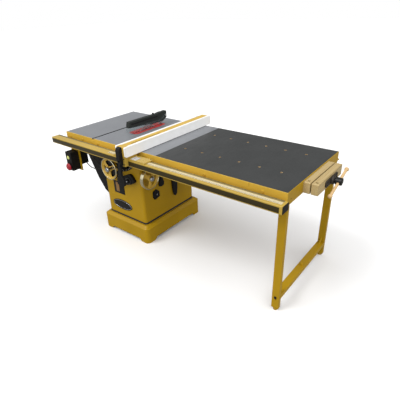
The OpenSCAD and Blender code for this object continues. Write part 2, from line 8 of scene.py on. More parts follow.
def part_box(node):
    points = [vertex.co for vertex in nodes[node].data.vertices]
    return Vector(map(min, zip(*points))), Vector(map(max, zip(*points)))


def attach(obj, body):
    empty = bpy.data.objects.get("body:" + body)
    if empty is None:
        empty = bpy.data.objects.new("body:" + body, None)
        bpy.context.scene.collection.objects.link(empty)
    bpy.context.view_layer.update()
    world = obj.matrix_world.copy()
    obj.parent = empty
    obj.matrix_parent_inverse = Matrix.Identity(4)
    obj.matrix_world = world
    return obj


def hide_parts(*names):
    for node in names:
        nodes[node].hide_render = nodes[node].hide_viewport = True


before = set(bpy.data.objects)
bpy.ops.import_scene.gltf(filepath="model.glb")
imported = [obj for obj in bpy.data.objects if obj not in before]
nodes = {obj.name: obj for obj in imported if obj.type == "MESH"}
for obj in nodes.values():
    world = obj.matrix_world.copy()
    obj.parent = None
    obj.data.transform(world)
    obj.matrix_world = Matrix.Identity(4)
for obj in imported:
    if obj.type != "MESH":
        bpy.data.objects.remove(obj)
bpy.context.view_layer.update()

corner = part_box("wing_left")[0]


def at(x, y, z):
    """A point in metres from millimetres measured at the table's front left corner, floor at zero."""
    return Vector((corner.x + x / 1000, corner.y + y / 1000, z / 1000))


def local(point):
    """The millimetre place of a frame point, the inverse of at()."""
    return (point.x - corner.x) * 1000, (point.y - corner.y) * 1000, point.z * 1000


def span(node):
    """x, y and z ranges of a CAD node in millimetres."""
    lo, hi = (local(p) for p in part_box(node))
    return tuple(zip(lo, hi))


# -------- materials

class Surface:
    """One node material. Values or links are handed to add() by socket name."""

    def __init__(self, name):
        self.mat = bpy.data.materials.new(name)
        self.mat.use_nodes = True
        self.tree = self.mat.node_tree
        self.tree.nodes.clear()
        self.out = self.add("OutputMaterial")
        self.coord = self.add("TexCoord").outputs["Object"]

    def put(self, socket, value):
        if isinstance(value, bpy.types.NodeSocket):
            self.tree.links.new(value, socket)
        else:
            socket.default_value = value

    def add(self, kind, values=None, **props):
        node = self.tree.nodes.new("ShaderNode" + kind)
        for key, value in props.items():
            setattr(node, key, value)
        for key, value in (values or {}).items():
            self.put(node.inputs[key], value)
        return node

    def noise(self, scale, detail=3.0, stretch=(1, 1, 1), rough=0.5, coord=None):
        mapped = self.add("Mapping", {"Vector": coord or self.coord, "Scale": stretch}).outputs[0]
        return self.add("TexNoise", {"Vector": mapped, "Scale": scale, "Detail": detail,
                                     "Roughness": rough}).outputs[0]

    def calc(self, op, a, b=0.0, clamp=False):
        return self.add("Math", {0: a, 1: b}, operation=op, use_clamp=clamp).outputs[0]

    def fit(self, value, lo, hi, to_lo=0, to_hi=1):
        return self.add("MapRange", {"Value": value, "From Min": lo, "From Max": hi,
                                     "To Min": to_lo, "To Max": to_hi}).outputs[0]

    def mix(self, fac, a, b):
        node = self.add("Mix", data_type="RGBA")
        self.put(node.inputs[0], fac)
        self.put(node.inputs[6], a if isinstance(a, bpy.types.NodeSocket) else (*a, 1))
        self.put(node.inputs[7], b if isinstance(b, bpy.types.NodeSocket) else (*b, 1))
        return node.outputs[2]

    def layer(self, tone, mask, amount, color):
        """The tone with a color laid over it where the mask is set, amount at most."""
        return self.mix(self.calc("MULTIPLY", mask, amount), tone, color)

    def edges(self, radius, gain):
        """Rounded-corner normal, and a mask that is 1 along the sharp edges; materials lighten their colour with it,
        partly as wear and partly as painted highlight.
        """
        soft = self.add("Bevel", {"Radius": radius}, samples=4).outputs[0]
        flat = self.add("NewGeometry").outputs["Normal"]
        dot = self.add("VectorMath", {0: soft, 1: flat}, operation="DOT_PRODUCT").outputs["Value"]
        return soft, self.calc("MULTIPLY", self.calc("SUBTRACT", 1.0, dot), gain, clamp=True)

    def bump(self, height, strength, depth, normal=None):
        values = {"Height": height, "Strength": strength, "Distance": depth}
        if normal is not None:
            values["Normal"] = normal
        return self.add("Bump", values).outputs[0]

    def finish(self, values):
        shader = self.add("BsdfPrincipled", values)
        self.put(self.out.inputs["Surface"], shader.outputs[0])
        return self.mat


def lighter(color, by):
    return tuple(min(1.0, c * by) for c in color)


def paint(name, color, rough=0.4, coat=0.06, peel=0.12, edge_wear_and_highlight=1.3, gloss=0.2):
    """Sprayed enamel: faint cloudiness, orange peel, lighter edges that are partly thin coat and partly painted
    highlight.
    """
    s = Surface(name)
    soft, rim = s.edges(0.0022, 2.2)
    cloud = s.fit(s.noise(3.0, 4), 0.3, 0.7)
    tone = s.mix(cloud, lighter(color, 0.9), lighter(color, 1.08))
    speck = s.fit(s.noise(240.0, 2), 0.35, 0.75)
    tone = s.layer(tone, speck, 0.12, lighter(color, 1.25))
    tone = s.layer(tone, rim, 0.55, lighter(color, edge_wear_and_highlight))
    smear = s.fit(s.noise(9.0, 5), 0.3, 0.7, rough - 0.06, rough + 0.1)
    skin = s.bump(s.noise(420.0, 2), peel, 0.0006, soft)
    return s.finish({"Base Color": tone, "Roughness": smear, "Normal": skin,
                     "Coat Weight": coat, "Coat Roughness": 0.18, "Specular IOR Level": gloss})


def ground_iron(name):
    """Ground cast iron on top, grey casting skin elsewhere."""
    s = Surface(name)
    soft, rim = s.edges(0.0016, 2.0)
    up = s.add("SeparateXYZ", {0: s.add("NewGeometry").outputs["Normal"]}).outputs[2]
    top = s.fit(up, 0.7, 0.9)
    passes = s.noise(26.0, 5, (0.25, 9, 1))
    fine = s.noise(190.0, 3, (0.06, 6, 1))
    blot = s.fit(s.noise(5.0, 5), 0.35, 0.7)
    bright = s.mix(s.fit(passes, 0.3, 0.7), (0.235, 0.245, 0.265), (0.3, 0.31, 0.33))
    bright = s.layer(bright, s.fit(fine, 0.35, 0.65), 0.35, (0.38, 0.39, 0.41))
    bright = s.layer(bright, blot, 0.25, (0.2, 0.21, 0.235))
    skin = s.mix(s.fit(s.noise(60.0, 5), 0.3, 0.7), (0.06, 0.063, 0.067), (0.115, 0.12, 0.125))
    tone = s.mix(top, skin, bright)
    # lighter edges: partly worn bright metal, partly painted highlight
    tone = s.layer(tone, rim, 0.35, (0.52, 0.53, 0.55))
    grain = s.mix(top, (0.5, 0.5, 0.5), (0, 0, 0))
    rough = s.fit(passes, 0.3, 0.7, 0.34, 0.46)
    rough = s.calc("ADD", rough, s.calc("MULTIPLY", s.calc("SUBTRACT", 1.0, top), 0.25))
    pit = s.calc("MULTIPLY", s.noise(330.0, 3), s.add("RGBToBW", {0: grain}).outputs[0])
    height = s.calc("ADD", s.calc("MULTIPLY", fine, 0.35), s.calc("MULTIPLY", pit, 3.0))
    return s.finish({"Base Color": tone, "Roughness": rough, "Metallic": s.fit(top, 0, 1, 0.15, 0.45),
                     "Normal": s.bump(height, 0.18, 0.0005, soft)})


def cast(name, color):
    """Sand-cast iron left rough."""
    s = Surface(name)
    soft, rim = s.edges(0.002, 2.0)
    lump = s.fit(s.noise(14.0, 6), 0.3, 0.7)
    tone = s.mix(lump, lighter(color, 0.7), lighter(color, 1.3))
    # lighter edges: partly wear, partly painted highlight
    tone = s.layer(tone, rim, 0.5, lighter(color, 2.2))
    sand = s.noise(260.0, 6, rough=0.7)
    return s.finish({"Base Color": tone, "Roughness": s.fit(lump, 0, 1, 0.5, 0.72), "Metallic": 0.3,
                     "Normal": s.bump(sand, 0.45, 0.0012, soft)})


def steel(name, color=(0.56, 0.57, 0.59), along=(1, 1, 1), rough=0.26, marks=0.5):
    """Machined or drawn steel with streaks along one direction."""
    s = Surface(name)
    soft, rim = s.edges(0.0008, 1.8)
    streak = s.noise(120.0, 4, along)
    stain = s.fit(s.noise(11.0, 5), 0.4, 0.75)
    tone = s.layer(color, s.fit(streak, 0.3, 0.7), marks, lighter(color, 0.66))
    tone = s.layer(tone, stain, 0.25, lighter(color, 0.75))
    # lighter edges: partly wear, partly painted highlight
    tone = s.layer(tone, rim, 0.4, lighter(color, 1.5))
    return s.finish({"Base Color": tone, "Metallic": 0.95, "Normal": s.bump(streak, 0.12, 0.0004, soft),
                     "Roughness": s.fit(streak, 0.3, 0.7, rough - 0.05, rough + 0.12)})


def turned_steel(name, centre, color=(0.55, 0.56, 0.58), rough=0.24):
    """Steel faced on a lathe about the X axis through centre: marks run in rings."""
    s = Surface(name)
    soft, rim = s.edges(0.0008, 1.8)
    away = s.add("VectorMath", {0: s.coord, 1: tuple(centre)}, operation="SUBTRACT").outputs[0]
    parts = s.add("SeparateXYZ", {0: away})
    radius = s.calc("SQRT", s.calc("ADD", s.calc("POWER", parts.outputs[1], 2.0),
                                   s.calc("POWER", parts.outputs[2], 2.0)))
    rings = s.add("TexNoise", {"Scale": 900.0, "Detail": 2.0, "W": radius}, noise_dimensions="1D").outputs[0]
    heat = s.fit(s.noise(18.0, 4), 0.4, 0.7)
    tone = s.mix(s.fit(rings, 0.35, 0.65), lighter(color, 0.8), color)
    tone = s.layer(tone, heat, 0.2, (0.42, 0.38, 0.32))
    return s.finish({"Base Color": tone, "Metallic": 0.95, "Normal": s.bump(rings, 0.1, 0.0003, soft),
                     "Roughness": s.fit(rings, 0.3, 0.7, rough - 0.04, rough + 0.1)})


def chrome(name, color):
    """Bright plating with wipe marks."""
    s = Surface(name)
    soft, rim = s.edges(0.001, 1.5)
    wipe = s.noise(34.0, 6, (1, 4, 1))
    tone = s.mix(s.fit(wipe, 0.3, 0.7), lighter(color, 0.88), lighter(color, 1.08))
    # lighter edges: painted highlight
    tone = s.layer(tone, rim, 0.3, lighter(color, 1.3))
    return s.finish({"Base Color": tone, "Metallic": 1.0, "Roughness": s.fit(wipe, 0.35, 0.7, 0.07, 0.2),
                     "Normal": s.bump(s.noise(160.0, 3), 0.03, 0.0004, soft)})


def moulded(name, color=(0.006, 0.006, 0.0065), rough=0.45, gloss=0.2, grain=0.3, edge_wear_and_highlight=3.0):
    """Moulded plastic with a leather-fine texture and lighter edges, partly polish and partly painted highlight."""
    s = Surface(name)
    soft, rim = s.edges(0.0018, 2.2)
    cells = s.add("TexVoronoi", {"Vector": s.coord, "Scale": 420.0}).outputs["Distance"]
    scuff = s.fit(s.noise(16.0, 6), 0.45, 0.72)
    tone = s.layer(color, scuff, 0.35, lighter(color, 1.7))
    tone = s.layer(tone, rim, 0.45, lighter(color, edge_wear_and_highlight))
    return s.finish({"Base Color": tone, "Roughness": s.fit(scuff, 0, 1, rough, rough + 0.14),
                     "Specular IOR Level": gloss, "Normal": s.bump(cells, grain, 0.0005, soft)})


def rubber(name):
    s = Surface(name)
    soft, rim = s.edges(0.001, 2.0)
    dust = s.fit(s.noise(40.0, 6), 0.4, 0.75)
    tone = s.mix(dust, (0.011, 0.011, 0.011), (0.045, 0.043, 0.04))
    # lighter edges: partly wear, partly painted highlight
    tone = s.layer(tone, rim, 0.3, (0.07, 0.07, 0.068))
    return s.finish({"Base Color": tone, "Roughness": s.fit(dust, 0, 1, 0.68, 0.9),
                     "Normal": s.bump(s.noise(380.0, 4), 0.4, 0.0006, soft)})


def laminate(name):
    """High-pressure laminate: dark grey with a salt-and-pepper fleck and a pebbled surface."""
    s = Surface(name)
    soft, rim = s.edges(0.0006, 2.0)
    fleck = s.add("TexVoronoi", {"Vector": s.coord, "Scale": 520.0}, feature="F1").outputs["Color"]
    pick = s.add("RGBToBW", {0: fleck}).outputs[0]
    cloud = s.fit(s.noise(4.0, 4), 0.3, 0.7)
    tone = s.mix(cloud, (0.032, 0.034, 0.034), (0.043, 0.045, 0.045))
    tone = s.layer(tone, s.fit(pick, 0.5, 0.8), 0.3, (0.09, 0.09, 0.088))
    # lighter edges: partly wear, partly painted highlight
    tone = s.layer(tone, rim, 0.4, (0.2, 0.19, 0.17))
    wipe = s.noise(7.0, 6, (3, 1, 1))
    return s.finish({"Base Color": tone, "Roughness": s.fit(wipe, 0.3, 0.7, 0.4, 0.52),
                     "Specular IOR Level": 0.25, "Normal": s.bump(s.noise(300.0, 3), 0.12, 0.0004, soft)})


def wood(name, pale, dark, along=(1, 0.05, 1), board=0.0, board_axis=2):
    """Oiled hardwood: long grain lines, pores, and glued boards of slightly different tone."""
    s = Surface(name)
    soft, rim = s.edges(0.0016, 2.0)
    warp = s.noise(9.0, 3, along)
    lines = s.noise(150.0, 6, along, rough=0.65)
    rings = s.add("TexWave", {"Vector": s.add("Mapping", {"Vector": s.coord, "Scale": along}).outputs[0],
                              "Scale": 26.0, "Distortion": 7.0, "Detail": 3.0, "Detail Scale": 1.4},
                  wave_type="RINGS", rings_direction="Y").outputs["Fac"]
    tone = s.mix(s.fit(lines, 0.35, 0.7), pale, dark)
    tone = s.layer(tone, s.fit(rings, 0.2, 0.9), 0.32, lighter(dark, 0.82))
    tone = s.layer(tone, s.fit(warp, 0.35, 0.65), 0.3, lighter(pale, 1.08))
    if board:
        place = s.add("SeparateXYZ", {0: s.coord}).outputs[board_axis]
        strip = s.calc("FLOOR", s.calc("DIVIDE", place, board))
        shade = s.add("TexWhiteNoise", {"W": strip}, noise_dimensions="1D").outputs["Value"]
        tone = s.layer(tone, shade, 0.4, lighter(dark, 0.92))
    # lighter edges: partly wear, partly painted highlight
    tone = s.layer(tone, rim, 0.3, lighter(pale, 1.1))
    pores = s.noise(520.0, 2, along)
    return s.finish({"Base Color": tone, "Roughness": s.fit(lines, 0.3, 0.7, 0.42, 0.6),
                     "Coat Weight": 0.12, "Coat Roughness": 0.3,
                     "Normal": s.bump(s.calc("ADD", pores, lines), 0.2, 0.0006, soft)})


def plywood(name):
    """Cut edges of birch plywood: thin plies stacked in Z."""
    s = Surface(name)
    soft, rim = s.edges(0.0008, 1.5)
    height = s.add("SeparateXYZ", {0: s.coord}).outputs[2]
    ply = s.calc("FRACT", s.calc("DIVIDE", height, 0.0034))
    fibre = s.noise(240.0, 4, (0.2, 0.2, 1))
    tone = s.mix(s.fit(ply, 0.45, 0.55), (0.56, 0.41, 0.22), (0.36, 0.22, 0.1))
    tone = s.layer(tone, s.fit(fibre, 0.3, 0.7), 0.4, (0.66, 0.52, 0.31))
    # lighter edges: partly wear, partly painted highlight
    tone = s.layer(tone, rim, 0.3, (0.75, 0.62, 0.4))
    return s.finish({"Base Color": tone, "Roughness": 0.62, "Normal": s.bump(fibre, 0.3, 0.0006, soft)})


def clear(name, tint=(0.95, 0.97, 0.97), body=0.06, haze_tone=(0.3, 0.34, 0.36)):
    """Clear sheet: mostly see-through, with sheen and hairline scratches."""
    s = Surface(name)
    scratch = s.noise(70.0, 5, (1, 0.05, 2))
    haze = s.fit(scratch, 0.5, 0.75, body * 0.6, body * 1.6)
    gloss = s.add("BsdfPrincipled", {"Base Color": (*haze_tone, 1), "Normal": s.bump(scratch, 0.05, 0.0003),
                                     "Roughness": s.fit(scratch, 0.4, 0.7, 0.06, 0.2)})
    through = s.add("BsdfTransparent", {"Color": (*tint, 1)})
    rim = s.calc("MULTIPLY", s.add("LayerWeight", {"Blend": 0.15}).outputs["Facing"], 0.3)
    blend = s.add("MixShader", {0: s.calc("ADD", haze, rim, clamp=True)})
    s.put(blend.inputs[1], through.outputs[0])
    s.put(blend.inputs[2], gloss.outputs[0])
    s.put(s.out.inputs["Surface"], blend.outputs[0])
    return s.mat


def scale_tape(name):
    """Cream printed tape with a faint satin grain."""
    s = Surface(name)
    grain = s.noise(220.0, 3, (0.1, 3, 1))
    tone = s.mix(s.fit(grain, 0.3, 0.7), (0.56, 0.48, 0.3), (0.65, 0.57, 0.38))
    return s.finish({"Base Color": tone, "Roughness": s.fit(grain, 0.3, 0.7, 0.3, 0.42),
                     "Normal": s.bump(grain, 0.08, 0.0003)})


# One gold paint on the real saw, in shaded and lit copies: LIGHT_GOLD, RAIL_GOLD and the tube gold below are lighter
# copies of GOLD, painted light on the front angle, rail, fence and wheels.
GOLD = (0.405, 0.24, 0.006)
LIGHT_GOLD = (0.62, 0.395, 0.05)
RAIL_GOLD = (0.47, 0.315, 0.05)
arbor_centre = [(a + b) / 2 for a, b in zip(*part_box("blade"))]

M = {
    "gold": paint("gold_enamel", GOLD),
    "light_gold": paint("gold_angle", LIGHT_GOLD, rough=0.34, coat=0.12, gloss=0.25),
    "rail_gold": paint("gold_rail", RAIL_GOLD, rough=0.3, coat=0.2, gloss=0.3),
    "wheel_gold": paint("gold_wheel", LIGHT_GOLD, rough=0.3, coat=0.2, gloss=0.4),
    "tube_gold": paint("gold_tube", (0.62, 0.4, 0.06), rough=0.32, coat=0.15, gloss=0.3),
    "black": paint("black_enamel", (0.006, 0.006, 0.006), rough=0.36, coat=0.08, edge_wear_and_highlight=4.0, gloss=0.25),
    "iron": ground_iron("ground_iron"),
    "cast": cast("rough_casting", (0.05, 0.053, 0.058)),
    "bracket": cast("vise_bracket_iron", (0.045, 0.036, 0.028)),
    "laminate": laminate("dark_laminate"),
    "ply": plywood("ply_edge"),
    "maple": wood("oiled_maple", (0.54, 0.435, 0.215), (0.39, 0.25, 0.09), board=0.029),
    "turned": wood("turned_maple", (0.66, 0.46, 0.22), (0.5, 0.3, 0.12)),
    "white": moulded("white_face", (0.9, 0.9, 0.89), rough=0.36, gloss=0.5, grain=0.06, edge_wear_and_highlight=1.05),
    "plastic": moulded("black_plastic"),
    "guard": moulded("guard_plastic", (0.017, 0.02, 0.018), rough=0.5, gloss=0.25),
    "plug": moulded("end_plug", (0.012, 0.011, 0.01), rough=0.55),
    "rubber": rubber("black_rubber"),
    "red": moulded("red_insert", (0.5, 0.018, 0.015), rough=0.3, gloss=0.3, grain=0.12, edge_wear_and_highlight=1.4),
    "red_button": moulded("red_button", (0.33, 0.006, 0.018), rough=0.26, gloss=0.5, grain=0.05, edge_wear_and_highlight=1.3),
    "green_button": moulded("green_button", (0.68, 0.72, 0.24), rough=0.28, gloss=0.5, grain=0.05, edge_wear_and_highlight=1.2),
    "steel": steel("machined_steel"),
    "plate_steel": steel("ground_plate", (0.6, 0.61, 0.63), along=(1, 6, 0.3)),
    "blade": turned_steel("blade_steel", arbor_centre, (0.6, 0.61, 0.62)),
    "arbor": turned_steel("arbor_steel", arbor_centre),
    "chrome": chrome("chrome_plate", (0.5, 0.51, 0.52)),
    # gold tint of the rim plating: painted reflection of the gold paint around it
    "rim_chrome": chrome("rim_plate", (0.72, 0.66, 0.46)),
    "clear": clear("clear_shield", body=0.04),
    "lens": clear("cursor_lens", (0.93, 0.95, 0.95), 0.42, (0.93, 0.95, 0.95)),
    "tape": scale_tape("scale_tape"),
    "stripe": paint("dark_stripe", (0.034, 0.025, 0.006), rough=0.36, coat=0.1, edge_wear_and_highlight=1.8, gloss=0.25),
    "band": paint("olive_band", (0.2, 0.155, 0.06), rough=0.34, coat=0.1, edge_wear_and_highlight=1.4),
    "ink": paint("printed_black", (0.02, 0.018, 0.015), rough=0.4, coat=0.0, peel=0.05),
    "amber": paint("tan_panel", (0.27, 0.15, 0.055), rough=0.36, coat=0.1),
    "silver": steel("silver_line", (0.7, 0.71, 0.73), rough=0.22),
    "dark_steel": steel("blackened_steel", (0.09, 0.09, 0.095), rough=0.3),
}

LOOKS = {
    "gold": ["plinth", "cabinet", "bench_frame", "legs", "leg_crossbar", "rear_angle", "switch_plate",
             "handwheel_raise", "handwheel_tilt", "leg_feet"],
    "rail_gold": ["rail_tube", "fence_head"],
    "light_gold": ["front_angle", "bolts"],
    "tube_gold": ["fence_tube"],
    "iron": ["table_main", "wing_left", "wing_right"],
    "cast": ["trunnions", "cradle", "arm_casting", "blade_shroud"],
    "bracket": ["vise_rods"],
    "laminate": ["bench_laminate"],
    "ply": ["bench_core"],
    "maple": ["vise_inner_jaw", "vise_outer_jaw"],
    "turned": ["vise_handle"],
    "white": ["fence_faces"],
    "guard": ["guard_arm"],
    "plastic": ["switch_box", "dust_port", "fence_cap", "fence_lever", "motor_cover"],
    "black": ["badge", "tilt_scale", "motor", "vise_screw"],
    "rubber": ["belt"],
    "red": ["throat_insert"],
    "red_button": ["stop_button"],
    "green_button": ["start_button"],
    "steel": ["shield_pin", "arbor_nut", "lift_screw", "raise_shaft", "tilt_shaft", "motor_pulley"],
    "plate_steel": ["splitter"],
    "blade": ["blade"],
    "arbor": ["arbor"],
    "chrome": ["crank_raise", "crank_tilt", "knob_raise", "knob_tilt"],
    "clear": ["shields"],
    "lens": ["fence_cursor"],
    "tape": ["rail_tape"],
}

for look, members in LOOKS.items():
    for member in members:
        mesh = nodes[member].data
        mesh.materials.clear()
        mesh.materials.append(M[look])
missing = set(nodes) - {n for members in LOOKS.values() for n in members}
if missing:
    raise RuntimeError(f"no look for {sorted(missing)}")


# -------- mesh building

def piece(name, look, body, build, smooth=35.0):
    """Runs build(bm) on a fresh bmesh and makes it an object that rides on a body."""
    bm = bmesh.new()
    build(bm)
    bmesh.ops.recalc_face_normals(bm, faces=bm.faces)
    mesh = bpy.data.meshes.new(name)
    bm.to_mesh(mesh)
    bm.free()
    mesh.materials.append(M[look])
    obj = bpy.data.objects.new(name, mesh)
    bpy.context.scene.collection.objects.link(obj)
    if smooth:
        mesh.shade_smooth()
        mesh.set_sharp_from_angle(angle=math.radians(smooth))
    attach(obj, body)
    return obj


def bevel_edges(bm, edges, size, steps):
    """Rounds the edges, each taken once and in the order given."""
    if size > 0:
        bmesh.ops.bevel(bm, geom=list(dict.fromkeys(edges)), offset=size / 1000, segments=steps, profile=0.6,
                        affect="EDGES", clamp_overlap=True)


def add_box(bm, x, y, z, bevel=0.8, steps=2):
    """Block between millimetre ranges with all edges rounded, added to bm."""
    lo, hi = at(x[0], y[0], z[0]), at(x[1], y[1], z[1])
    made = bmesh.ops.create_cube(bm, size=1.0)["verts"]
    for v in made:
        v.co = Vector([(lo[i] + hi[i]) / 2 + v.co[i] * (hi[i] - lo[i]) for i in range(3)])
    bevel_edges(bm, (e for v in made for e in v.link_edges), bevel, steps)


PLANES = {"x": lambda a, b, c: at(c, a, b), "y": lambda a, b, c: at(a, c, b), "z": lambda a, b, c: at(a, b, c)}


def add_prism(bm, outline, axis, low, high, bevel=0.8, steps=2):
    """Outline in millimetres, extruded along one axis. x: (y, z), y: (x, z), z: (x, y)."""
    put = PLANES[axis]
    ends = [[bm.verts.new(put(a, b, c)) for a, b in outline] for c in (low, high)]
    faces = [bm.faces.new(ends[0]), bm.faces.new(list(reversed(ends[1])))]
    for i in range(len(outline)):
        j = (i + 1) % len(outline)
        faces.append(bm.faces.new((ends[0][i], ends[1][i], ends[1][j], ends[0][j])))
    bmesh.ops.recalc_face_normals(bm, faces=faces)
    bevel_edges(bm, (e for f in faces[:2] for e in f.edges), bevel, steps)


def skin(bm, loops, closed):
    """Quads between neighbouring loops of equally many points; closed joins the last to the first."""
    for one, two in zip(loops, loops[1:] + (loops[:1] if closed else [])):
        for k in range(len(one)):
            j = (k + 1) % len(one)
            bm.faces.new((one[k], one[j], two[j], two[k]))


def add_lathe(bm, profile, origin, direction, sides=40, wave=0.0, teeth=0):
    """Profile of (distance along, radius) in millimetres, turned about a line. wave cuts grip teeth."""
    axis = Vector(direction).normalized()
    side = axis.orthogonal().normalized()
    other = axis.cross(side)
    base = at(*origin)
    rows = []
    for along, radius in profile:
        centre = base + axis * along / 1000
        if radius <= 0.001:
            rows.append([bm.verts.new(centre)])
            continue
        ring = []
        for i in range(sides):
            angle = math.tau * i / sides
            r = radius + (wave if teeth and i % (sides // teeth) < sides // teeth // 2 else 0.0)
            ring.append(bm.verts.new(centre + (side * math.cos(angle) + other * math.sin(angle)) * r / 1000))
        rows.append(ring)
    for first, second in zip(rows, rows[1:]):
        if len(first) == 1 and len(second) == 1:
            continue
        for i in range(sides):
            j = (i + 1) % sides
            if len(first) == 1:
                bm.faces.new((first[0], second[j], second[i]))
            elif len(second) == 1:
                bm.faces.new((first[i], first[j], second[0]))
            else:
                bm.faces.new((first[i], first[j], second[j], second[i]))
    for ring in (rows[0], rows[-1]):
        if len(ring) > 1:
            bm.faces.new(ring)


def dome(height, radius, steps=5):
    """Lathe profile of a rounded cap."""
    angles = [math.pi / 2 * i / steps for i in range(steps + 1)]
    return [(height * math.sin(angle), radius * math.cos(angle)) for angle in angles]


def add_sweep(bm, points, radius, sides=12, pieces=6):
    """Round tube along a smoothed path of millimetre points, each stretch cut into short pieces."""
    path = [at(*p) for p in points]
    fine = []
    for i in range(len(path) - 1):
        a, b, c, d = path[max(i - 1, 0)], path[i], path[i + 1], path[min(i + 2, len(path) - 1)]
        for k in range(pieces):
            t = k / pieces
            fine.append(0.5 * ((2 * b) + (c - a) * t + (2 * a - 5 * b + 4 * c - d) * t * t
                               + (3 * b - a - 3 * c + d) * t ** 3))
    fine.append(path[-1])
    side, rings = None, []
    for i, p in enumerate(fine):
        tangent = (fine[min(i + 1, len(fine) - 1)] - fine[max(i - 1, 0)]).normalized()
        side = tangent.orthogonal() if side is None else side - tangent * side.dot(tangent)
        side.normalize()
        up = tangent.cross(side)
        rings.append([bm.verts.new(p + (side * math.cos(math.tau * k / sides)
                                        + up * math.sin(math.tau * k / sides)) * radius / 1000)
                      for k in range(sides)])
    skin(bm, rings, False)
    bm.faces.new(rings[0])
    bm.faces.new(rings[-1])


def add_screw(bm, origin, direction, radius, height):
    """Button-head screw with a round recess."""
    add_lathe(bm, [(-0.5, radius * 0.96), (0, radius), (height * 0.55, radius), (height * 0.9, radius * 0.82),
                   (height, radius * 0.55), (height * 0.45, radius * 0.5), (height * 0.45, 0)],
              origin, direction, sides=24)


# -------- rail and table details

(rail_x0, rail_x1), (rail_y0, rail_y1), (rail_z0, rail_z1) = span("rail_tube")
_, _, (angle_z0, table_z) = span("front_angle")
(tape_x0, tape_x1), (tape_y0, _), (_, tape_z) = span("rail_tape")

piece("rail_stripe", "stripe", "frame", lambda bm: add_box(
    bm, (rail_x0 + 3, rail_x1 - 18), (rail_y0 - 1.2, rail_y0 + 0.1), (rail_z0 + 8, rail_z1 - 9), 0.4))
# Olive strip along the back of the rail top: painted shade and dark reflection on the gold tube.
piece("rail_shade_band", "band", "frame", lambda bm: add_box(
    bm, (rail_x0 + 3, rail_x1 - 18), (rail_y1 - 22, rail_y1 - 3), (rail_z1 - 0.1, rail_z1 + 0.35), 0.15))


def tape_marks(bm):
    """A stroke every eighth of an inch, longer at each quarter, half and inch; no figures."""
    inch = 25.4
    for i in range(int((tape_x1 - tape_x0 - 8) / (inch / 8))):
        x = tape_x0 + 5 + i * inch / 8
        length = 17 if i % 8 == 0 else 12 if i % 4 == 0 else 8.5 if i % 2 == 0 else 6
        wide = 0.55 if i % 8 == 0 else 0.35
        add_box(bm, (x - wide, x + wide), (tape_y0 + 1, tape_y0 + 1 + length), (tape_z - 0.05, tape_z + 0.12), 0)


piece("tape_marks", "ink", "frame", tape_marks, smooth=0)


def end_plug(bm):
    add_box(bm, (rail_x1 - 10, rail_x1 - 0.5), (rail_y0 + 4, rail_y1 - 4), (rail_z0 + 4, rail_z1 - 4), 1.2)
    add_box(bm, (rail_x1 - 1, rail_x1 + 2.5), (rail_y0 + 1.5, rail_y1 - 1.5), (rail_z0 + 1.5, rail_z1 - 1.5), 1.2)
    for i in range(3):
        z = rail_z0 + 13 + 12 * i
        add_box(bm, (rail_x1 + 2, rail_x1 + 3.2), (rail_y0 + 12, rail_y1 - 12), (z - 1.5, z + 1.5), 0.4)


piece("rail_end_plug", "plug", "frame", end_plug)
piece("rail_left_cap", "plug", "frame", lambda bm: add_box(
    bm, (rail_x0 - 1.4, rail_x0 + 0.1), (rail_y0 + 4, rail_y1 - 4), (rail_z0 + 4, rail_z1 - 4), 0.5))

joint_x = 1830  # where the two lengths of the front angle meet
piece("angle_joint", "ink", "frame", lambda bm: add_box(
    bm, (joint_x - 0.6, joint_x + 0.6), (-6.3, -0.2), (angle_z0 + 58, table_z + 0.15), 0))


def rail_screws(bm):
    for x in range(130, int(rail_x1) - 60, 230):
        add_screw(bm, (x, rail_y1 - 14, rail_z0 - 6), (0, 0, -1), 5.5, 4)


piece("rail_screws", "black", "frame", rail_screws)


def rear_bolts(bm):
    """Bolt heads on the outer face of the rear angle."""
    for x in (60, 225, 420, 660, 860, 1010, 1250, 1500, 1750, 1990):
        add_lathe(bm, [(0, 9), (1.6, 9), (1.6, 7), (6.5, 7), (7.2, 6), (7.2, 0)], (x, 781, 832), (0, 1, 0), 24)


piece("rear_bolts", "black", "frame", rear_bolts)


def insert_screws(bm):
    (x0, x1), (y0, y1), (_, z1) = span("throat_insert")
    for x in (x0 + 11, x1 - 11):
        for y in (y0 + 52, y0 + 140, y1 - 140, y1 - 52):
            add_lathe(bm, [(-1.0, 3.2), (0.35, 3.2), (0.5, 2.7), (-0.4, 1.6), (-0.4, 0)], (x, y, z1), (0, 0, 1), 20)


piece("insert_screws", "black", "frame", insert_screws)


# -------- cabinet front and side

(cab_x0, cab_x1), (cab_y0, cab_y1), _ = span("cabinet")
cab_x1 -= 6  # the boss of the tilt shaft stands out from the side by this much
(badge_x0, badge_x1), (badge_y0, _), (badge_z0, badge_z1) = span("badge")


def oval(bm, inset, wire):
    """Bead of a given half width, following the badge's outline at an inset."""
    cx, cz = (badge_x0 + badge_x1) / 2, (badge_z0 + badge_z1) / 2
    rx, rz = (badge_x1 - badge_x0) / 2 - inset, (badge_z1 - badge_z0) / 2 - inset
    rings, sides, around = [], 8, 96
    for i in range(around):
        t = math.tau * i / around
        out = Vector((math.cos(t) / rx, 0, math.sin(t) / rz)).normalized()
        p = at(cx + rx * math.cos(t), badge_y0, cz + rz * math.sin(t))
        rings.append([bm.verts.new(p + (out * math.cos(math.tau * k / sides)
                                        + Vector((0, 1, 0)) * math.sin(math.tau * k / sides) * 0.6) * wire / 1000)
                      for k in range(sides)])
    skin(bm, rings, True)


piece("badge_line", "silver", "frame", lambda bm: oval(bm, 9.0, 1.5))
piece("badge_border", "black", "frame", lambda bm: oval(bm, 2.5, 2.6))


